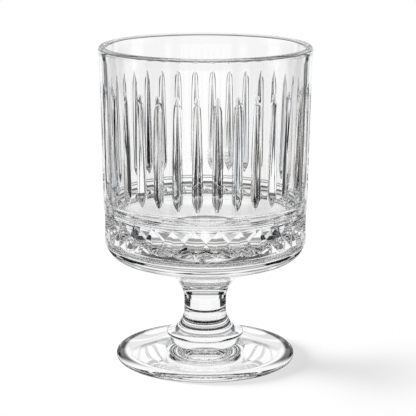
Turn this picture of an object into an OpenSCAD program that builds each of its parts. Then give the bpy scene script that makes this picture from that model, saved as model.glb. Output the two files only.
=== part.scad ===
// Pressed glass goblet: a bowl, a short stem and a foot, fused where their flat seats meet.
// Millimetres, +Z up, origin at the centre of the ring that the foot rests on.

/* [Bowl] */
// Height of the bowl, from its seat on the stem to the top of the rim
bowl_h = 90.6; // [84:0.1:98]
// Outer diameter at the widest point of the rounded rim
rim_d = 83.6; // [80:0.1:88]
// Thickness of the rounded rim
rim_t = 3.2; // [2.6:0.1:3.6]
// How far the rim stands out past the wall under it
rim_proud = 0.35; // [0.1:0.05:0.6]
// How far the wall draws in from the rim down to the neck groove
wall_draw = 1.15; // [0.4:0.05:1.8]
// Thickness of the wall at its lower end
wall_t = 3.5; // [3:0.1:4.4]
// Thickness of the glass under the middle of the cavity
base_t = 24; // [20:0.1:30]
// Radius of the corner between the cavity's wall and its floor
cavity_r = 4; // [3:0.1:9]
// How far the floor of the cavity dips towards its middle
floor_dip = 1.6; // [0.4:0.1:2.4]

/* [Base of the bowl] */
// How far the collar, the smooth ring above the band of points, lies in from the wall
collar_step = 0.15; // [0.05:0.05:0.5]
// Height of the collar
collar_h = 4.4; // [3:0.1:5]
// Height of the groove between the collar and the fluted wall
groove_h = 1.2; // [0.8:0.1:1.6]
// Depth of that groove
groove_depth = 0.6; // [0.3:0.05:0.9]
// How far the band of points lies in from the collar
band_step = 0.25; // [0.1:0.05:0.6]
// Height of the band's lower edge above the bowl's seat
band_z = 15.6; // [15:0.1:16.6]
// Height of the band of points
band_h = 9.8; // [8.4:0.1:10.2]
// Radius of the rounded heel between the band and the underside
heel_r = 9; // [6:0.1:9.2]
// Slope of the underside, in degrees above level
base_slope = 18.5; // [15:0.1:20]

/* [Flutes] */
// Number of flutes round the wall
flute_n = 34; // [30:1:36]
// Height of the plain wall above the flutes, up to the top of the rim
plain_h = 14.2; // [10:0.1:20]
// Width of a flute at its widest
flute_w = 4.0; // [3:0.1:4.6]
// Angle of a flute's two faces from the wall, in degrees
flute_angle = 32; // [20:1:36]
// Gap between the lower points of the flutes and the neck groove
flute_gap = 2.0; // [1:0.1:3]
// Turn of the flutes from the front, in degrees
flute_turn = -4.1; // [-6:0.1:6]

/* [Points] */
// Number of sunk points round the band
point_n = 29; // [26:1:32]
// Depth of a point below the band
point_depth = 2.1; // [1.2:0.1:2.6]
// Width of the ridge left between neighbouring points
ridge_w = 0.35; // [0.25:0.05:0.8]
// Turn of the points from the front, in degrees
point_turn = 0.5; // [-6:0.1:6]

/* [Stem] */
// Height of the stem, from its seat on the foot to the bowl's seat
stem_h = 25.5; // [23:0.1:30]
// Diameter of the stem at its waist
waist_d = 17.1; // [14:0.1:20]
// Diameter of the stem's top, where the bowl is seated
stem_top_d = 30.6; // [28:0.1:33]
// Diameter of the pad at the bottom of the stem
pad_d = 30.6; // [27:0.1:33]
// Height of that pad
pad_h = 1.1; // [0.8:0.1:2]
// Height of the curve from the pad up to the waist
flare_h = 12; // [9:0.1:13]
// Radius of the pad's lower edge
pad_r = 0.5; // [0.3:0.05:0.7]

/* [Foot] */
// Diameter of the foot
foot_d = 71.2; // [64:0.1:80]
// Height of the foot at the seat of the stem
foot_h = 9.9; // [8:0.1:12]
// Thickness of the foot's rounded edge
foot_edge_t = 3.7; // [3:0.1:4.4]
// How far the top of the foot sags below a straight cone
foot_sag = 0.7; // [0:0.1:1.2]
// Width of the flat ring that the foot rests on
rest_w = 4; // [2.5:0.1:6]
// Height of the hollow under the foot, at its middle
hollow_h = 2.4; // [0.5:0.1:3]

/* [Hidden] */
$fn = 96;

// Glass, as it looks against a pale room
GLASS = [0.86, 0.92, 0.94, 0.55];
// Overrun of every cut past the surface that it opens
OVER = 0.6;
// Height below the rim where the straight wall starts
RIM_DROP = 5;
// Angle below level at which the rim's round starts on the outside
LIP_TUCK = 20;
// Steps in a curve of a revolved outline
ARC_STEPS = 10;
LIP_STEPS = 20;
FLARE_STEPS = 16;

// Outline of a flute: share of its length from the lower point, share of its greatest half width.
// A share below zero ends the cut just outside the wall, in a clean point.
FLUTE_SHARES = [[0, -0.05], [0.03, 0.42], [0.065, 0.78], [0.11, 1], [0.34, 0.97],
                [0.72, 0.74], [0.93, 0.6], [0.97, 0.42], [1, -0.05]];
// Height of the stem's straight waist, as a share of its diameter
WAIST_SHARE = 0.04;

stem_z = foot_h;
bowl_z = stem_z + stem_h;

// Radii of the wall at both ends, of the cavity's lower end, of the collar and of the band
wall_top_r = rim_d / 2 - rim_proud;
wall_low_r = wall_top_r - wall_draw;
cavity_low_r = wall_low_r - wall_t;
collar_r = wall_low_r - collar_step;
band_r = collar_r - band_step;

// Heights above the bowl's seat
collar_z = band_z + band_h;
groove_z = collar_z + collar_h;
wall_z = groove_z + groove_h;
wall_top_z = bowl_h - RIM_DROP;
flute_z = wall_z + flute_gap;
flute_len = bowl_h - plain_h - flute_z;

// Radius of the wall's outside at height z above the bowl's seat
function wall_r(z) = wall_low_r + (wall_top_r - wall_low_r) * (z - wall_z) / (wall_top_z - wall_z);

// Points of an arc round c with radius r, from angle a to angle b
function arc(c, r, a, b, steps) =
    [for (i = [0:steps]) let (t = a + (b - a) * i / steps) c + r * [cos(t), sin(t)]];

// Heel: the arc that is tangent to the sloping underside and to the upright band
heel_inset = heel_r * tan((90 - base_slope) / 2);
heel_corner = [band_r, (band_r - stem_top_d / 2) * tan(base_slope)];
heel_c = heel_corner + [-heel_r, heel_inset];

// Rim: a half round whose outer side stands a little proud of the wall
lip_r = rim_t / 2;
lip_c = [rim_d / 2 - lip_r, bowl_h - lip_r];

// Cavity: a tapered wall, a round corner and a floor that dips in the middle
cavity_c = [cavity_low_r - cavity_r, base_t + floor_dip + cavity_r];

// Floor of the cavity, from the corner in to the axis
function floor_points(steps) =
    [for (i = [1:steps]) let (s = 1 - i / steps) [cavity_c.x * s, base_t + floor_dip * s * s]];

module bowl_blank() {
    outside = concat(
        [[0, 0], [stem_top_d / 2, 0]],
        arc(heel_c, heel_r, base_slope - 90, 0, ARC_STEPS),
        [[band_r, collar_z], [collar_r, collar_z], [collar_r, groove_z],
         [collar_r - groove_depth, groove_z + groove_h / 3],
         [collar_r - groove_depth, groove_z + groove_h * 2 / 3],
         [wall_low_r, wall_z], [wall_top_r, wall_top_z]],
        arc(lip_c, lip_r, -LIP_TUCK, 180, LIP_STEPS));
    inside = concat(arc(cavity_c, cavity_r, 0, -90, ARC_STEPS), floor_points(ARC_STEPS));
    rotate_extrude() polygon(concat(outside, inside));
}

// A V-shaped cut up the wall: its two faces keep their angle, so it is deep where it is wide
module flute() {
    sections = [for (s = FLUTE_SHARES)
        let (z = flute_z + s[0] * flute_len, w = s[1] * flute_w / 2, r = wall_r(z))
        [[r - w * tan(flute_angle), 0, z],
         [r + OVER, w + OVER / tan(flute_angle), z],
         [r + OVER, -w - OVER / tan(flute_angle), z]]];
    n = len(sections);
    points = [for (section = sections) each section];
    sides = [for (k = [0:n - 2], j = [0:2]) each
        let (a = 3 * k + j, b = 3 * k + (j + 1) % 3) [[a, b, a + 3], [b, b + 3, a + 3]]];
    polyhedron(points, concat([[2, 1, 0]], sides, [[3 * n - 3, 3 * n - 2, 3 * n - 1]]), convexity = 4);
}

// Turns copies of a shape round the axis, the first one facing the front
module around(n, turn) {
    for (i = [0:n - 1]) rotate(turn - 90 + i * 360 / n) children();
}

// One sunk four-sided point, drawn out past the band so that it cuts it open
module sunk_point() {
    reach = 1 + OVER / point_depth;
    half_w = band_r * sin(180 / point_n) - ridge_w / 2;
    half_h = band_h / 2 - ridge_w / 2;
    edge_r = band_r * cos(180 / point_n);
    deepest = [band_r - point_depth, 0, band_z + band_h / 2];
    corners = [for (c = [[1, 1], [-1, 1], [-1, -1], [1, -1]])
        deepest + reach * [edge_r - deepest.x, c.x * half_w, c.y * half_h]];
    polyhedron(concat([deepest], corners), [[0, 1, 2], [0, 2, 3], [0, 3, 4], [0, 4, 1], [4, 3, 2, 1]]);
}

module bowl() {
    color(GLASS) translate([0, 0, bowl_z]) difference() {
        bowl_blank();
        around(flute_n, flute_turn) flute();
        around(point_n, point_turn) sunk_point();
    }
}

module stem() {
    waist_z = pad_h + flare_h;
    neck_z = waist_z + waist_d * WAIST_SHARE;
    neck_h = stem_h - neck_z;
    neck_w = (stem_top_d - waist_d) / 2;
    neck_r = (neck_h * neck_h + neck_w * neck_w) / (2 * neck_w);
    flare_w = (pad_d - waist_d) / 2;
    flare = [for (i = [0:FLARE_STEPS]) let (t = 90 * i / FLARE_STEPS)
        [pad_d / 2 - flare_w * sin(t), waist_z - flare_h * cos(t)]];
    neck = arc([waist_d / 2 + neck_r, neck_z], neck_r, 180, 180 - asin(neck_h / neck_r), ARC_STEPS);
    color(GLASS) translate([0, 0, stem_z]) rotate_extrude() polygon(concat(
        [[0, 0]], arc([pad_d / 2 - pad_r, pad_r], pad_r, -90, 0, ARC_STEPS / 2),
        flare, neck, [[0, stem_h]]));
}

module foot() {
    edge_r = foot_edge_t / 2;
    edge_c = [foot_d / 2 - edge_r, edge_r];
    seat_r = pad_d / 2 - pad_r;
    rest_r = edge_c.x - rest_w;
    top = [for (i = [1:ARC_STEPS]) let (s = i / ARC_STEPS)
        [edge_c.x + (seat_r - edge_c.x) * s,
         foot_edge_t + (foot_h - foot_edge_t) * s - foot_sag * 4 * s * (1 - s)]];
    hollow = [for (i = [0:ARC_STEPS - 1]) let (s = i / ARC_STEPS)
        [rest_r * s, hollow_h * (1 - s * s)]];
    color(GLASS) rotate_extrude() polygon(concat(
        hollow, [[rest_r, 0]], arc(edge_c, edge_r, -90, 90, LIP_STEPS), top, [[0, foot_h]]));
}

bowl();
stem();
foot();
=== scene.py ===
# %% [markdown]
# # A pressed glass goblet
# The real thing is three gathers of clear glass, fused while hot: a bucket-shaped bowl with a cut
# pattern, a short stem and a round foot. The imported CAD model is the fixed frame, so every size here
# starts from it. This script gives each piece a fine mesh with fire-polished edges and one clear glass,
# and lights it as a studio does.

# %% Load the frame
import math

import bmesh
import bpy
from mathutils import Matrix, Vector


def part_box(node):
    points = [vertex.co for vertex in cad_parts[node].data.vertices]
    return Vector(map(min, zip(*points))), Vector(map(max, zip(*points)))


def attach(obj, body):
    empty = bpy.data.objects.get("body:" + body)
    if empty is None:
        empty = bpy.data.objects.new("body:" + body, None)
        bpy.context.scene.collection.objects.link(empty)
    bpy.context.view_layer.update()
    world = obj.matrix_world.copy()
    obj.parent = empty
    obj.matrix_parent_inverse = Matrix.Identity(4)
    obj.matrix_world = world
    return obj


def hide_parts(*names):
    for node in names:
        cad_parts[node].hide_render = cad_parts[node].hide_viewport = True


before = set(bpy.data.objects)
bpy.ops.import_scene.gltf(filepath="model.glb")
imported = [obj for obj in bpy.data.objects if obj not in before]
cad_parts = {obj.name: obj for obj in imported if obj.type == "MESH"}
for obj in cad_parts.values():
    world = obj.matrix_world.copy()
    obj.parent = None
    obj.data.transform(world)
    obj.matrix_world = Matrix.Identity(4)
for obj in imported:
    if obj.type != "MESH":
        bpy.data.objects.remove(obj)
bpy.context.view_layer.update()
MM = 0.001

bowl_lo, bowl_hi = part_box("bowl")
stem_lo, stem_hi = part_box("stem")
foot_lo, foot_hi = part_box("foot")
for name, lo, hi in (("bowl", bowl_lo, bowl_hi), ("stem", stem_lo, stem_hi), ("foot", foot_lo, foot_hi)):
    print(name, "from", round(lo.z / MM, 2), "to", round(hi.z / MM, 2), "mm, radius", round(hi.x / MM, 2))

# %% [markdown]
# ## Helpers for round glass
# Every piece is round, so each is made from loops of vertices that are drawn out along an outline, which
# is what the extrude operator does with an open ring of edges. An outline is a list of radius and height
# pairs, and its curves are arcs, so it needs no table of numbers.

# %% Outlines
def arc(centre, radius, start, end, steps):
    """Points on an arc round centre, as radius and height, with angles in degrees."""
    angles = [math.radians(start + (end - start) * i / steps) for i in range(steps + 1)]
    return [(centre[0] + radius * math.cos(a), centre[1] + radius * math.sin(a)) for a in angles]


def line(start, end, steps):
    """Points on a straight line, both ends included."""
    return [tuple(a + (b - a) * i / steps for a, b in zip(start, end)) for i in range(steps + 1)]


def ramp(value, low, high):
    """Rises from 0 at low to 1 at high, and is level at both ends."""
    t = min(max((value - low) / (high - low), 0), 1)
    return t * t * (3 - 2 * t)


# %% Loops drawn out along an outline
def ring_to(verts, radius, height):
    """Moves a loop of vertices to one radius and one height, and keeps each vertex at its own angle."""
    for v in verts:
        angle = math.atan2(v.co.y, v.co.x)
        v.co = Vector((radius * math.cos(angle), radius * math.sin(angle), height))


def draw_out(mesh, edges, outline):
    """Extrudes a closed loop of edges through each point of an outline, and returns the last loop."""
    for radius, height in outline:
        made = bmesh.ops.extrude_edge_only(mesh, edges=edges)["geom"]
        ring_to([g for g in made if isinstance(g, bmesh.types.BMVert)], radius, height)
        edges = [g for g in made if isinstance(g, bmesh.types.BMEdge) and g.is_boundary]
    return edges


def close_middle(mesh, edges, height):
    """Closes a loop with a fan that meets on the axis."""
    face = bmesh.ops.contextual_create(mesh, geom=edges)["faces"]
    centre = bmesh.ops.poke(mesh, faces=face)["verts"][0]
    centre.co = Vector((0, 0, height))


# %% Joining loops up
SAME_HEIGHT = 0.001 * MM
SAME_PLACE = 0.002 * MM


def level_edges(mesh, height):
    """The open edges of the mesh that lie at one height."""
    return [e for e in mesh.edges
            if e.is_boundary and all(abs(v.co.z - height) < SAME_HEIGHT for v in e.verts)]


def weld(mesh):
    """Merges vertices that lie at the same place."""
    bmesh.ops.remove_doubles(mesh, verts=mesh.verts, dist=SAME_PLACE)


def around(mesh, count, first_turn):
    """Turns a strip to the front and a little on, repeats it round the axis and joins it up."""
    bmesh.ops.rotate(mesh, verts=mesh.verts, cent=(0, 0, 0),
                     matrix=Matrix.Rotation(math.radians(first_turn - 90), 3, "Z"))
    bmesh.ops.spin(mesh, geom=mesh.verts[:] + mesh.edges[:] + mesh.faces[:], axis=(0, 0, 1), cent=(0, 0, 0),
                   steps=count - 1, angle=2 * math.pi * (count - 1) / count, use_duplicate=True)
    weld(mesh)


# %% [markdown]
# ## The fluted wall
# Each flute is an upright cut, deepest where it is widest, that runs out to a point at both ends. The
# cutter leaves a rounded bottom, and the flame that polishes the glass rounds the edges. A grid of one
# pitch is made first: its columns follow the flute's outline, so they close up to one line above and
# below it. The strip is then repeated round the wall. A boolean cut would leave long thin triangles that
# show in glass.

# %% Sizes of the wall
FLUTES = 34
FLUTE_TURN = -4.1
WALL_BOTTOM = bowl_lo.z + 31.0 * MM
WALL_TOP = bowl_hi.z - 5.0 * MM
WALL_LOW_R = 40.3 * MM
WALL_TOP_R = 41.45 * MM
FLUTE_BOTTOM = WALL_BOTTOM + 2.0 * MM
FLUTE_LENGTH = 43.4 * MM
FLUTE_HALF_W = 2.0 * MM
FLUTE_TAPER = 0.44
POINT_SHARE = 0.12
LOWER_POINT_POWER = 2
UPPER_POINT_POWER = 1.6


def wall_radius(height):
    """Radius of the plain wall at a height."""
    return WALL_LOW_R + (WALL_TOP_R - WALL_LOW_R) * (height - WALL_BOTTOM) / (WALL_TOP - WALL_BOTTOM)


print("wall:", FLUTES, "flutes, pitch", round(2 * math.pi * WALL_LOW_R / FLUTES / MM, 2), "mm")


# %% The flute's outline
def flute_half_width(t):
    """Half the width of a flute, from its blunt lower point (0) to its slim upper one (1)."""
    if not 0 < t < 1:
        return 0
    lower = 1 - (1 - min(t / POINT_SHARE, 1)) ** LOWER_POINT_POWER
    upper = 1 - (1 - min((1 - t) / POINT_SHARE, 1)) ** UPPER_POINT_POWER
    return FLUTE_HALF_W * lower * upper * (1 - FLUTE_TAPER * t * t)


print("flute:", [round(2 * flute_half_width(t) / MM, 2) for t in (0.1, 0.5, 0.9)], "mm wide")

# %% [markdown]
# Across the cut, each side has three slopes: a thin steep lip at its edge, a gentle face, and a steep
# core in the middle. In front of a bright field the gentle face stays pale, and the lip and the core go
# dark, which is what draws a cut in clear glass. The core is widest low down and tapers to a line near
# the top, while the lip grows broader there, so that the cut ends as a pale sliver with a dark outline.

# %% The cut's cross-section
CUT_EDGE = 1.04
LIP_START = 1.01
LIP_TURN = 0.04
CORE_TURN = 0.03
BOTTOM_ROUND = 0.1
LIP_SLOPE = math.tan(math.radians(50))
FACE_SLOPE = math.tan(math.radians(20))
CORE_SLOPE = math.tan(math.radians(52))
CORE_WIDE_SHARE = 0.74
CORE_SLIM_SHARE = 0.2
LIP_THIN_SHARE = 0.13
LIP_BROAD_SHARE = 0.33
CORE_TAPER = (0.1, 0.95)
LIP_FLARE = (0.75, 1)


def cut_slopes(t):
    """Places across half a cut, from its edge (1) in to its middle (0), with the slope at each."""
    core = CORE_WIDE_SHARE - (CORE_WIDE_SHARE - CORE_SLIM_SHARE) * ramp(t, *CORE_TAPER)
    lip = LIP_THIN_SHARE + (LIP_BROAD_SHARE - LIP_THIN_SHARE) * ramp(t, *LIP_FLARE)
    return [(CUT_EDGE, 0), (LIP_START, LIP_SLOPE), (1 - lip, LIP_SLOPE), (1 - lip - LIP_TURN, FACE_SLOPE),
            (core + CORE_TURN, FACE_SLOPE), (core, CORE_SLOPE),
            (BOTTOM_ROUND, CORE_SLOPE), (BOTTOM_ROUND / 2, CORE_SLOPE / 2), (0, 0)]


def cut_section(t):
    """The same places, each with its depth as a share of the cut's half width."""
    slopes = cut_slopes(t)
    section = [(CUT_EDGE, 0)]
    for (outer, slope_out), (inner, slope_in) in zip(slopes, slopes[1:]):
        section.append((inner, section[-1][1] + (outer - inner) * (slope_out + slope_in) / 2))
    return section


print("cut:", round(cut_section(0.5)[-1][1] * flute_half_width(0.5) / MM, 2), "mm deep at mid height")

# %% Columns and rows of one pitch
PANEL_COLUMNS = 5
FLUTE_ROWS = 36
PLAIN_TOP = 0.8 * MM
half_pitch = math.pi / FLUTES

right_half = [("cut", i) for i in range(len(cut_section(0)))]
right_half += [("panel", i + 1) for i in range(PANEL_COLUMNS)]
columns = [(kind, i, -1) for kind, i in reversed(right_half)] + [(kind, i, 1) for kind, i in right_half[1:]]
flute_shares = [(1 - math.cos(math.pi * i / FLUTE_ROWS)) / 2 for i in range(FLUTE_ROWS + 1)]
rows = ([WALL_BOTTOM, (WALL_BOTTOM + FLUTE_BOTTOM) / 2]
        + [FLUTE_BOTTOM + FLUTE_LENGTH * share for share in flute_shares]
        + [WALL_TOP, WALL_TOP + PLAIN_TOP])
print("one pitch:", len(columns), "columns and", len(rows), "rows")


# %% One pitch of the wall, bent from a grid
def grid_step(place, count):
    """Which of a grid's columns or rows a place is in, where the grid reaches from -1 to 1."""
    return round((place + 1) / 2 * (count - 1))


def wall_point(column, z):
    """Where a column of the pitch meets a height."""
    kind, i, side = column
    t = (z - FLUTE_BOTTOM) / FLUTE_LENGTH
    half_w = flute_half_width(t)
    edge = CUT_EDGE * half_w / wall_radius(z)
    if kind == "cut":
        across, depth = cut_section(t)[-1 - i]
        angle = side * across * edge / CUT_EDGE
    else:
        depth = 0
        angle = side * (edge + (half_pitch - edge) * i / PANEL_COLUMNS)
    radius = wall_radius(z) - depth * half_w
    return Vector((radius * math.cos(angle), radius * math.sin(angle), z))


wall = bmesh.new()
bmesh.ops.create_grid(wall, x_segments=len(columns) - 1, y_segments=len(rows) - 1, size=1)
for v in wall.verts:
    v.co = wall_point(columns[grid_step(v.co.x, len(columns))], rows[grid_step(v.co.y, len(rows))])
weld(wall)
around(wall, FLUTES, FLUTE_TURN)
print("fluted wall:", len(wall.faces), "faces,", len(level_edges(wall, rows[-1])), "edges at the top")

# %% [markdown]
# ## The rim and the inside
# The rim is a half round, a little wider than the wall. From the wall's top loop the outline runs over
# the rim, down the smooth inside, round a soft corner and across the floor of the cavity, which dips in
# the middle.

# %% Rim and cavity
RIM_T = 3.2 * MM
RIM_TUCK = -20
CAVITY_LOW_R = 36.8 * MM
CAVITY_CORNER_R = 4.0 * MM
CAVITY_FLOOR = bowl_lo.z + 24.0 * MM
FLOOR_DIP = 1.6 * MM
FLOOR_RINGS = 36

lip_r = RIM_T / 2
lip = (bowl_hi.x - lip_r, bowl_hi.z - lip_r)
corner = (CAVITY_LOW_R - CAVITY_CORNER_R, CAVITY_FLOOR + FLOOR_DIP + CAVITY_CORNER_R)
inner_wall = line((lip[0] - lip_r, lip[1]), (CAVITY_LOW_R, corner[1]), steps=14)
floor_shares = [1 - i / FLOOR_RINGS for i in range(1, FLOOR_RINGS)]
inside = (arc(lip, lip_r, RIM_TUCK, 180, steps=24) + inner_wall[1:]
          + arc(corner, CAVITY_CORNER_R, 0, -90, steps=20)[1:]
          + [(corner[0] * s, CAVITY_FLOOR + FLOOR_DIP * s * s) for s in floor_shares])
close_middle(wall, draw_out(wall, level_edges(wall, rows[-1]), inside), CAVITY_FLOOR)
print("rim and inside:", len(wall.faces), "faces in all")

# %% [markdown]
# ## The band of sunk points
# Under the collar runs a band of four-sided points, pressed into the glass, whose ridges cross all round
# like a row of X. One cell is a grid on the cylinder. Its middle is poked to a point and pushed in, and
# the spokes that lie in a flat face are dissolved again, so that only the four valleys stay. The edges
# get a small bevel, because no pressed glass has a sharp edge.

# %% Sizes of the band
POINTS = 29
POINT_TURN = 0.5
BAND_R = 39.9 * MM
BAND_LOW = bowl_lo.z + 15.6 * MM
BAND_H = 9.8 * MM
BAND_MARGIN = 0.9 * MM
POINT_DEPTH = 2.1 * MM
RIDGE_HALF_W = 0.175 * MM
POINT_BEVEL = 0.12 * MM
FIELD_COLUMNS = 10

cell_half = math.pi / POINTS
point_half_w = BAND_R * math.sin(cell_half) - RIDGE_HALF_W
point_half_h = BAND_H / 2 - RIDGE_HALF_W
edge_r = BAND_R * math.cos(cell_half)
apex_r = BAND_R - POINT_DEPTH
field_half = math.asin(point_half_w / BAND_R)
band_mid = BAND_LOW + BAND_H / 2
band_top = band_mid + point_half_h + BAND_MARGIN
band_bottom = band_mid - point_half_h - BAND_MARGIN
print("points:", POINTS, "each", round(2 * point_half_w / MM, 2), "mm wide")


# %% One cell on the cylinder
def field_height(angle):
    """Half height of the sunk field at an angle, where its slanting face comes out through the band."""
    inside_field = min(abs(angle), field_half)
    return point_half_h * (BAND_R * math.cos(inside_field) - apex_r) / (edge_r - apex_r)


field_columns = [field_half * (2 * i / FIELD_COLUMNS - 1) for i in range(FIELD_COLUMNS + 1)]
cell_columns = [-cell_half] + field_columns + [cell_half]
band = bmesh.new()
bmesh.ops.create_grid(band, x_segments=len(cell_columns) - 1, y_segments=3, size=1)
for v in band.verts:
    angle = cell_columns[grid_step(v.co.x, len(cell_columns))]
    half_h = field_height(angle)
    heights = (band_bottom, band_mid - half_h, band_mid + half_h, band_top)
    z = heights[grid_step(v.co.y, len(heights))]
    v.co = Vector((BAND_R * math.cos(angle), BAND_R * math.sin(angle), z))
print("cell:", len(band.faces), "faces")


# %% Sink it and soften its edges
SAME_ANGLE = 1e-6


def in_field(face):
    """Whether a face of the cell lies in the field that is sunk."""
    middle = face.calc_center_median()
    angle = math.atan2(middle.y, middle.x)
    return abs(middle.z - band_mid) < point_half_h / 2 and abs(angle) < field_half


def is_corner(v):
    """Whether a vertex lies at a side of the field, where only its corners are."""
    return abs(abs(math.atan2(v.co.y, v.co.x)) - field_half) < SAME_ANGLE


field = bmesh.ops.dissolve_faces(band, faces=[f for f in band.faces if in_field(f)])["region"]
point = bmesh.ops.poke(band, faces=field)["verts"][0]
point.co = Vector((apex_r, 0, band_mid))
bmesh.ops.dissolve_edges(band, edges=[e for e in point.link_edges if not is_corner(e.other_vert(point))])
sunk = set(point.link_faces)
crisp = [e for e in band.edges if any(f in sunk for f in e.link_faces)]
bmesh.ops.bevel(band, geom=crisp, offset=POINT_BEVEL, offset_type="OFFSET", segments=2, profile=0.5,
                affect="EDGES", material=-1, clamp_overlap=True)
around(band, POINTS, POINT_TURN)
print("band of points:", len(band.faces), "faces")

# %% [markdown]
# ## The base of the bowl
# Above the band the outline steps out to the collar and in again to the neck groove, where it meets the
# wall. The wall's loop doesn't have as many vertices as the band's, and bridging two loops joins them
# all the same. Below the band the outline turns round the heel and slopes in to the seat, the flat disc
# on which the stem is fused.

# %% The wall and the band in one mesh
bowl = bmesh.new()
for part in (wall, band):
    scratch = bpy.data.meshes.new("scratch")
    part.to_mesh(scratch)
    bowl.from_mesh(scratch)
    bpy.data.meshes.remove(scratch)
    part.free()
print("wall and band:", len(bowl.faces), "faces")

# %% Collar and groove
COLLAR_R = 40.15 * MM
COLLAR_H = 4.4 * MM
COLLAR_STEP_H = 0.35 * MM
GROOVE_H = 1.2 * MM
GROOVE_DEPTH = 0.6 * MM
GROOVE_FLAT_SHARE = 0.4
EDGE_R = 0.3 * MM
COLLAR_EDGE_SHARE = 0.6
WALL_EDGE_SHARE = 0.4

groove_low = BAND_LOW + BAND_H + COLLAR_H
groove_mid = groove_low + GROOVE_H / 2
groove_r = COLLAR_R - GROOVE_DEPTH
groove_half_flat = GROOVE_H * GROOVE_FLAT_SHARE / 2
collar = (arc((COLLAR_R - EDGE_R, band_top + COLLAR_STEP_H), EDGE_R, -60, 0, steps=4)
          + arc((COLLAR_R - EDGE_R, groove_low - EDGE_R * COLLAR_EDGE_SHARE), EDGE_R, 0, 70, steps=5)
          + [(groove_r, groove_mid - groove_half_flat)])
neck = (arc((WALL_LOW_R - EDGE_R, WALL_BOTTOM + EDGE_R * WALL_EDGE_SHARE), EDGE_R, -15, -80, steps=5)
        + [(groove_r, groove_mid + groove_half_flat)])
from_band = draw_out(bowl, level_edges(bowl, band_top), collar)
from_wall = draw_out(bowl, level_edges(bowl, WALL_BOTTOM), neck)
bmesh.ops.bridge_loops(bowl, edges=from_band + from_wall)
print("with the collar:", len(bowl.faces), "faces")

# %% Heel and seat
HEEL_R = 9.0 * MM
BASE_SLOPE = 18.5
SEAT_R = 15.3 * MM

heel_inset = HEEL_R * math.tan(math.radians((90 - BASE_SLOPE) / 2))
base_rise = (BAND_R - SEAT_R) * math.tan(math.radians(BASE_SLOPE))
heel = arc((BAND_R - HEEL_R, bowl_lo.z + base_rise + heel_inset), HEEL_R, 0, BASE_SLOPE - 90, steps=28)
underside = line(heel[-1], (SEAT_R, bowl_lo.z), steps=16)[1:]
bmesh.ops.holes_fill(bowl, edges=draw_out(bowl, level_edges(bowl, band_bottom), heel + underside))
print("bowl:", len(bowl.faces), "faces, open edges:", sum(e.is_boundary for e in bowl.edges))

# %% [markdown]
# ## Stem and foot
# Both are plain round forms, so each is an outline spun round the axis. The stem's waist flares up to
# the bowl's seat and down to a pad. The foot slopes out to a thick rounded edge and is slightly hollow
# underneath.

# %% Spun pieces
ROUND_STEPS = 240


def spun(outline):
    """Spins an outline that starts and ends on the axis."""
    mesh = bmesh.new()
    verts = [mesh.verts.new((r, 0, z)) for r, z in outline]
    edges = [mesh.edges.new(pair) for pair in zip(verts, verts[1:])]
    bmesh.ops.spin(mesh, geom=verts + edges, axis=(0, 0, 1), cent=(0, 0, 0), steps=ROUND_STEPS,
                   angle=2 * math.pi, use_merge=True)
    weld(mesh)
    return mesh


def flare_radius(width, height):
    """Radius of an arc that leaves the waist upright and goes out by a width over a height."""
    return (height ** 2 + width ** 2) / (2 * width)


print("spun pieces have", ROUND_STEPS, "sides")

# %% The stem
PAD_H = 1.1 * MM
PAD_EDGE_R = 0.5 * MM
FLARE_H = 9.5 * MM
WAIST_R = 8.42 * MM
WAIST_H = 3.4 * MM

pad_r = stem_hi.x
pad_edge = arc((pad_r - PAD_EDGE_R, stem_lo.z + PAD_EDGE_R), PAD_EDGE_R, -90, 0, steps=8)
waist_low = stem_lo.z + PAD_H + FLARE_H
flare_r = flare_radius(pad_r - WAIST_R, FLARE_H)
flare_start = 180 + math.degrees(math.asin(FLARE_H / flare_r))
flare = arc((WAIST_R + flare_r, waist_low), flare_r, flare_start, 180, steps=48)
neck_low = waist_low + WAIST_H
neck_h = stem_hi.z - neck_low
neck_r = flare_radius(SEAT_R - WAIST_R, neck_h)
neck_end = 180 - math.degrees(math.asin(neck_h / neck_r))
upper_flare = arc((WAIST_R + neck_r, neck_low), neck_r, 180, neck_end, steps=40)
stem = spun([(0, stem_lo.z)] + pad_edge + flare + upper_flare + [(0, stem_hi.z)])
print("stem:", len(stem.faces), "faces")

# %% The foot
FOOT_EDGE_R = 1.85 * MM
FOOT_SAG = 0.7 * MM
FOOT_RINGS = 60
REST_W = 4.0 * MM
HOLLOW_H = 2.4 * MM
HOLLOW_RINGS = 90
HOLLOW_ROUND_SHARE = 0.3
ROUND_REACH_SHARE = 0.64
CONE_REACH_SHARE = 0.6

foot_edge = (foot_hi.x - FOOT_EDGE_R, FOOT_EDGE_R)
foot_seat_r = pad_r - PAD_EDGE_R
rest_r = foot_edge[0] - REST_W


def foot_top(s):
    """A point of the foot's top, from its edge at 0 to the stem's seat at 1."""
    return (foot_edge[0] + (foot_seat_r - foot_edge[0]) * s,
            2 * FOOT_EDGE_R + (foot_hi.z - 2 * FOOT_EDGE_R) * s - FOOT_SAG * 4 * s * (1 - s))


def hollow_point(s):
    """A point of the hollow, from the axis at 0 to the resting ring at 1: a blunt, slightly round cone."""
    rounded = HOLLOW_ROUND_SHARE * ramp(1 - s, 0, ROUND_REACH_SHARE)
    straight = (1 - HOLLOW_ROUND_SHARE) * min(1, (1 - s) / CONE_REACH_SHARE)
    return (rest_r * s, HOLLOW_H * (rounded + straight))


hollow = [hollow_point(i / HOLLOW_RINGS) for i in range(HOLLOW_RINGS + 1)]
foot = spun(hollow + arc(foot_edge, FOOT_EDGE_R, -90, 90, steps=40)
            + [foot_top(i / FOOT_RINGS) for i in range(1, FOOT_RINGS + 1)] + [(0, foot_hi.z)])
print("foot:", len(foot.faces), "faces")

# %% [markdown]
# ## Shader maths in Python
# A small class wraps a socket, so that an expression such as `1 - mask * 2` adds its Math nodes by
# itself. Every other node comes from one function, which takes its kind, its settings and what feeds its
# sockets.

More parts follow.
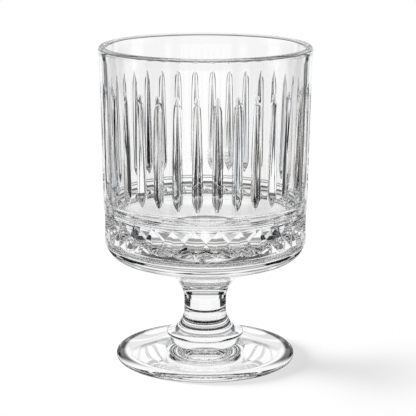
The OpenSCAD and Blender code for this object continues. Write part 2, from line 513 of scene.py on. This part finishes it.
# %% Nodes
def node(tree, kind, settings=None, inputs=None):
    """Adds a node, sets it up, feeds its sockets with values or links, and returns its first output."""
    made = tree.nodes.new(kind)
    for name, value in (settings or {}).items():
        setattr(made, name, value)
    for name, value in (inputs or {}).items():
        if isinstance(value, Field):
            tree.links.new(value.socket, made.inputs[name])
        else:
            made.inputs[name].default_value = value
    return Field(tree, made.outputs[0]) if made.outputs else made


# %% Fields
class Field:
    """A socket in a node tree: a number that varies from place to place, or a vector, colour or shader."""

    def __init__(self, tree, socket):
        self.tree = tree
        self.socket = socket

    def maths(self, operation, *values):
        """A Math node on values that are numbers or fields."""
        return node(self.tree, "ShaderNodeMath", {"operation": operation}, dict(enumerate(values)))

    def __sub__(self, other):
        return self.maths("SUBTRACT", self, other)

    def __rsub__(self, other):
        return self.maths("SUBTRACT", other, self)

    def __mul__(self, other):
        return self.maths("MULTIPLY", self, other)

    def __rmul__(self, other):
        return self.maths("MULTIPLY", other, self)

    def max(self, other):
        """The greater of the two."""
        return self.maths("MAXIMUM", self, other)

    def part(self, name):
        """Another output of the same node."""
        return Field(self.tree, self.socket.node.outputs[name])

    def step(self, low, high):
        """Rises smoothly from 0 at low to 1 at high."""
        return node(self.tree, "ShaderNodeMapRange", {"interpolation_type": "SMOOTHSTEP"},
                    {"Value": self, "From Min": low, "From Max": high})

    def within(self, low, high, soft):
        """1 between low and high, 0 outside, with both edges that soft."""
        return self.step(low - soft, low + soft) * (1 - self.step(high - soft, high + soft))


# %% Colours between two others
def blend(tree, factor, first, second):
    """Goes from the first colour to the second as the factor goes from 0 to 1."""
    mixed = node(tree, "ShaderNodeMix", {"data_type": "RGBA"}, {"Factor": factor})
    for name, value in (("A_Color", first), ("B_Color", second)):
        socket = next(s for s in mixed.socket.node.inputs if s.identifier == name)
        if isinstance(value, Field):
            tree.links.new(value.socket, socket)
        else:
            socket.default_value = value
    return Field(tree, next(s for s in mixed.socket.node.outputs if s.identifier == "Result_Color"))


# %% [markdown]
# ## Clear glass
# Soda glass bends light by 1.52 and has no colour at this thickness. Pressed glass is never quite flat:
# the mould leaves a slow, shallow waviness, which a bump gives, and which makes the highlights swim a
# little. Most of the lamp's light passes straight through to the table, so that the shadow stays as pale
# as glass throws it. Where two pieces are fused there is no surface at all, only glass, so their seats
# let light straight through.

# %% The glass and the seam
GLASS_IOR = 1.52
SHADOW_SHARE = 0.7
WAVES_PER_METRE = 90.0
WAVE_STRENGTH = 0.015
WAVE_HEIGHT = 1 * MM
WHITE = (1, 1, 1, 1)


def new_material(name):
    """An empty material and its node tree."""
    material = bpy.data.materials.new(name)
    material.use_nodes = True
    material.node_tree.nodes.clear()
    return material, material.node_tree


glass, tree = new_material("clear_pressed_glass")
place = node(tree, "ShaderNodeTexCoord").part("Object")
wave = node(tree, "ShaderNodeTexNoise", {}, {"Vector": place, "Scale": WAVES_PER_METRE, "Detail": 1.0})
swim = node(tree, "ShaderNodeBump", {}, {
    "Strength": WAVE_STRENGTH, "Distance": WAVE_HEIGHT, "Height": wave})
body = node(tree, "ShaderNodeBsdfPrincipled", {}, {
    "Base Color": WHITE, "Roughness": 0.0, "IOR": GLASS_IOR, "Transmission Weight": 1.0, "Normal": swim})
path = node(tree, "ShaderNodeLightPath")
lets_through = path.part("Is Diffuse Ray").max(path.part("Is Shadow Ray") * SHADOW_SHARE)
clear = node(tree, "ShaderNodeBsdfTransparent")
node(tree, "ShaderNodeOutputMaterial", {}, {
    "Surface": node(tree, "ShaderNodeMixShader", {}, {0: lets_through, 1: body, 2: clear})})

seam, tree = new_material("fused_seam")
node(tree, "ShaderNodeOutputMaterial", {}, {"Surface": node(tree, "ShaderNodeBsdfTransparent")})
print("materials:", glass.name, "and", seam.name)

# %% [markdown]
# ## The three pieces
# Each mesh becomes an object that rides on the one body and takes the place of its CAD node. The faces
# of a flat seat get the seam. Edges sharper than 50 degrees stay crisp, and weighted normals keep the
# broad faces even where they meet a narrow bevel.

# %% Finished pieces
SEAT_NEAR = 0.01 * MM
LEVEL_FACE = 0.999
CRISP_ANGLE = math.radians(50)


def new_object(mesh, name):
    """Turns a bmesh into an object of the scene, which stays at the origin."""
    data = bpy.data.meshes.new(name)
    mesh.to_mesh(data)
    mesh.free()
    made = bpy.data.objects.new(name, data)
    bpy.context.scene.collection.objects.link(made)
    return made


def finish_piece(mesh, name, replaced, seats):
    """Turns a bmesh into an object of clear glass with fused seats at some heights, for a CAD node."""
    bmesh.ops.recalc_face_normals(mesh, faces=mesh.faces)
    for face in mesh.faces:
        face.smooth = True
        at_seat = any(abs(face.verts[0].co.z - z) < SEAT_NEAR for z in seats)
        face.material_index = int(at_seat and abs(face.normal.z) > LEVEL_FACE)
    print(name, "has", len(mesh.calc_loop_triangles()), "triangles")
    piece = new_object(mesh, name)
    piece.data.materials.append(glass)
    piece.data.materials.append(seam)
    piece.data.set_sharp_from_angle(angle=CRISP_ANGLE)
    even = piece.modifiers.new("even_normals", "WEIGHTED_NORMAL")
    even.keep_sharp = True
    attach(piece, "root")
    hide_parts(replaced)


finish_piece(bowl, "glass_bowl", "bowl", [bowl_lo.z])
finish_piece(stem, "glass_stem", "stem", [stem_lo.z, stem_hi.z])
finish_piece(foot, "glass_foot", "foot", [foot_hi.z])

# %% [markdown]
# ## The floor
# The goblet stands on a pale table that has no edge in the picture. Only a disc round the foot is real,
# where the shadow falls. Further out it fades away, and the white of the room takes its place. Seen
# through the glass, the table glows plain white, but for a painted contact shadow, a dark ring round the
# foot's edge that gives the foot its outline, and painted dark sectors at the sides, in place of dark
# cards, which give the near flutes their dark lower points.

# %% Angles and rays
DEG = math.radians(1)


def bearing(tree, place):
    """The angle of a place from straight ahead, to the right."""
    parts = node(tree, "ShaderNodeSeparateXYZ", {}, {0: place})
    return parts.maths("ARCTAN2", parts.part("X"), parts.part("Y"))


def folded(turn):
    """A bearing folded into one quarter: 0 straight ahead or behind, 90 degrees at a side."""
    return turn.maths("PINGPONG", turn, 90 * DEG)


def past(angle, low, high):
    """Rises from 0 to 1 as an angle goes from the first number of degrees to the second."""
    return angle.step(low * DEG, high * DEG)


def through_glass(seen):
    """1 for a ray that comes off or through glass."""
    return seen.part("Is Glossy Ray").max(seen.part("Is Transmission Ray"))


# %% The floor disc
FLOOR_R = 170 * MM
table_disc = bmesh.new()
bmesh.ops.create_circle(table_disc, cap_ends=True, segments=96, radius=FLOOR_R)
floor = new_object(table_disc, "floor")
print("floor disc:", round(2 * FLOOR_R / MM), "mm across")

# %% The table's surface
PALE = (0.97, 0.97, 0.97, 1)
DARK = (0.01, 0.01, 0.01, 1)
FADE = (100 * MM, 165 * MM)
FADE_IN_VIEW = (65 * MM, 110 * MM)
# Painted contact shadow: a dark ring on the table round the foot's edge. Painted dark sectors at the sides
# stand in for dark cards. Rays through the glass see both, and nothing else does.
CONTACT_SHADOW_RING = (31.6 * MM, 47 * MM)
CONTACT_SHADOW_SOFT = 0.8 * MM
SECTOR_START = (53 * MM, 57 * MM)
SECTOR_SIDE = (29.5, 32.5)

pale, tree = new_material("pale_table")
place = node(tree, "ShaderNodeTexCoord").part("Object")
distance = node(tree, "ShaderNodeVectorMath", {"operation": "LENGTH"}, {0: place}).part("Value")
quarter = folded(bearing(tree, place))
seen = node(tree, "ShaderNodeLightPath")
gone = distance.step(*FADE).max(seen.part("Is Camera Ray") * distance.step(*FADE_IN_VIEW))
# the painted contact shadow round the foot's edge, and the painted dark sectors at the sides
ring = distance.within(*CONTACT_SHADOW_RING, CONTACT_SHADOW_SOFT)
sectors = distance.step(*SECTOR_START) * past(quarter, *SECTOR_SIDE)
matt = node(tree, "ShaderNodeBsdfDiffuse", {}, {"Color": PALE})
# What the glass sees: the table glowing plain white, with the painted shadow and sectors in dark
white = node(tree, "ShaderNodeEmission", {}, {"Color": blend(tree, ring.max(sectors), PALE, DARK)})
table = node(tree, "ShaderNodeMixShader", {}, {0: through_glass(seen), 1: matt, 2: white})
nothing = node(tree, "ShaderNodeBsdfTransparent")
node(tree, "ShaderNodeOutputMaterial", {}, {
    "Surface": node(tree, "ShaderNodeMixShader", {}, {0: gone, 1: table, 2: nothing})})
floor.data.materials.append(pale)
print("table:", len(tree.nodes), "nodes")

# %% [markdown]
# ## The room
# Glass shows only what is round it, so it is stood in a bright room with dark cards, and the cards draw
# the edges of every cut. Here the world plays that room. Its cards are mirrored into all four quarters,
# so that the glass reads from the back too, and only rays that come off or through the glass see them.
# The camera sees plain white, and matt things a lower plain level, so that the lamp's shadow still shows
# on the table.

# %% Directions
world = bpy.data.worlds.new("studio")
bpy.context.scene.world = world
world.use_nodes = True
tree = world.node_tree
tree.nodes.clear()
way = node(tree, "ShaderNodeTexCoord").part("Generated")
turn = bearing(tree, way)
quarter = folded(turn)
height = node(tree, "ShaderNodeSeparateXYZ", {}, {0: way}).part("Z")
rise = height.maths("ARCSINE", height)


def between(angle, low, high, soft=1):
    """1 where an angle is between two others, in degrees, with edges that soft."""
    return angle.within(low * DEG, high * DEG, soft * DEG)


print("directions:", len(tree.nodes), "nodes")

# %% [markdown]
# The cards at the sides draw the upright lines of the flutes. Above level they reach up 14 degrees.
# Below level they are wider, with a bright chink in each corner, because a view from a corner looks
# straight at them.

# %% Cards at the sides
HORIZON = (0, 2)
CARD_SOFT = 1.5
UPPER_CARD = (26, 48)
UPPER_CARD_TOP = (14, 18)
LOWER_CARD = (30, 80)
CHINK = (40.5, 49.5)
CHINK_LIGHT = 0.85
above = past(rise, *HORIZON)
chink = between(quarter, *CHINK, CARD_SOFT) * CHINK_LIGHT
upper_card = between(quarter, *UPPER_CARD, CARD_SOFT) * above * (1 - past(rise, *UPPER_CARD_TOP))
lower_card = between(quarter, *LOWER_CARD, CARD_SOFT) * (1 - chink) * (1 - above)
cards = upper_card.max(lower_card)
print("with the cards:", len(tree.nodes), "nodes")

# %% [markdown]
# Bars that run all round draw the level lines: those below level the rim and the cavity's corner, and
# those overhead the lower facets of the points and the strokes on the side flutes. A bar is where it
# starts and ends, in degrees above level, how soft its edges are, and how dark it is. Two shelves ahead
# and a skyline beside them give the points in the middle their contrast, and so does the dark room
# behind the camera.

# %% Bars, shelves and the room behind
BARS = ((-38, -26, 1, 0.45), (-26, -18, 1, 0.9), (42, 58, 2, 0.9), (66, 84, 2, 0.8))
SHELVES = ((1, 8), (11, 17))
SHELF_ENDS = (26, 30)
SHELF_DARK = 0.65
SKYLINE = (3, 9)
SKYLINE_START = (8, 12)
SKYLINE_DARK = 0.5
BEHIND = (110, 120)
BEHIND_HEIGHT = (-4, 60, 3)
dark = cards
for low, high, soft, darkness in BARS:
    dark = dark.max(between(rise, low, high, soft) * darkness)
for low, high in SHELVES:
    dark = dark.max(between(rise, low, high) * SHELF_DARK * (1 - past(quarter, *SHELF_ENDS)))
skyline = between(rise, *SKYLINE) * past(quarter, *SKYLINE_START) * SKYLINE_DARK
room_behind = past(turn.maths("ABSOLUTE", turn), *BEHIND) * between(rise, *BEHIND_HEIGHT)
dark = dark.max(skyline).max(room_behind)
print("with the bars:", len(tree.nodes), "nodes")

# %% [markdown]
# Glass spreads white light into colours where it bends a dark edge sharply. A path tracer's glass bends
# all colours alike, so the cards' soft edges get a faint tint here: blue on the inner side, and orange
# on the outer. The world isn't sampled as if it were a lamp, because rays that leave the glass find it
# anyway.

# %% The world's light
ROOM_ON_TABLE = 0.52
BLACK = (0, 0, 0, 1)
BLUE = (0.5, 0.75, 1, 1)
ORANGE = (1, 0.75, 0.5, 1)
TINT_CHANGE = (40, 50)
seen = node(tree, "ShaderNodeLightPath")
by_glass = through_glass(seen)
level = 1 - by_glass * dark - seen.part("Is Diffuse Ray") * (1 - ROOM_ON_TABLE)
fringe = by_glass * cards * (1 - cards) * 2
tint = blend(tree, past(quarter, *TINT_CHANGE), BLUE, ORANGE)
light = blend(tree, level, BLACK, blend(tree, fringe, WHITE, tint))
sky = node(tree, "ShaderNodeBackground", {}, {"Color": light})
node(tree, "ShaderNodeOutputWorld", {}, {"Surface": sky})
world.cycles.sampling_method = "NONE"
print("world:", len(tree.nodes), "nodes")

# %% [markdown]
# ## The lamp
# One soft lamp stands low at the left, a little behind the goblet, and lays the shadow to the right and
# the front. A lamp is not a card, so the glass doesn't show it.

# %% A soft light from the left
LAMP_ACROSS = 0.75
LAMP_POWER = 50
LAMP_PLACE = (-1.38, 0.42, 0.40)
LAMP_AIM = (0, 0, 0.02)
lamp_data = bpy.data.lights.new("softbox", "AREA")
lamp_data.shape = "DISK"
lamp_data.size = LAMP_ACROSS
lamp_data.energy = LAMP_POWER
lamp = bpy.data.objects.new("softbox", lamp_data)
lamp.location = LAMP_PLACE
lamp.rotation_euler = (Vector(LAMP_AIM) - lamp.location).to_track_quat("-Z", "Y").to_euler()
lamp.visible_glossy = False
lamp.visible_transmission = False
bpy.context.scene.collection.objects.link(lamp)
print("lamp:", round(lamp.location.length, 2), "m away")

# %% [markdown]
# ## The camera
# It stands about 65 cm away and 21 cm above the table and looks down by 12.8 degrees, which gives both
# the flat oval of the rim and the rounder oval of the foot.

# %% Camera
CAMERA_DISTANCE = 0.646
CAMERA_HEIGHT = 0.2083
CAMERA_SIDE = 0.00073
LOOK_DOWN = 12.83
ROLL = -0.12
SENSOR_WIDTH = 36
IMAGE_WIDTH = 416
FOCAL_PIXELS = 1672.3

camera_data = bpy.data.cameras.new("camera")
camera_data.sensor_width = SENSOR_WIDTH
camera_data.lens = FOCAL_PIXELS / IMAGE_WIDTH * SENSOR_WIDTH
camera = bpy.data.objects.new("camera", camera_data)
camera.location = (CAMERA_SIDE, -CAMERA_DISTANCE, CAMERA_HEIGHT)
camera.rotation_euler = (math.radians(90 - LOOK_DOWN), math.radians(ROLL), 0)
bpy.context.scene.collection.objects.link(camera)
bpy.context.scene.camera = camera
print("lens", round(camera_data.lens, 1), "mm")

# %% [markdown]
# ## The picture
# A ray crosses the cut wall many times before it leaves the glass. With few bounces it would end in the
# dark and leave black triangles in the band, so it is given plenty. Caustics are off, because the glass
# already lets the lamp's light through.

# %% Picture settings
BOUNCES = 64
SEAM_BOUNCES = 16
scene = bpy.context.scene
scene.view_settings.view_transform = "Standard"
scene.cycles.caustics_reflective = False
scene.cycles.caustics_refractive = False
scene.cycles.max_bounces = BOUNCES
scene.cycles.transmission_bounces = BOUNCES
scene.cycles.glossy_bounces = BOUNCES
scene.cycles.transparent_max_bounces = SEAM_BOUNCES
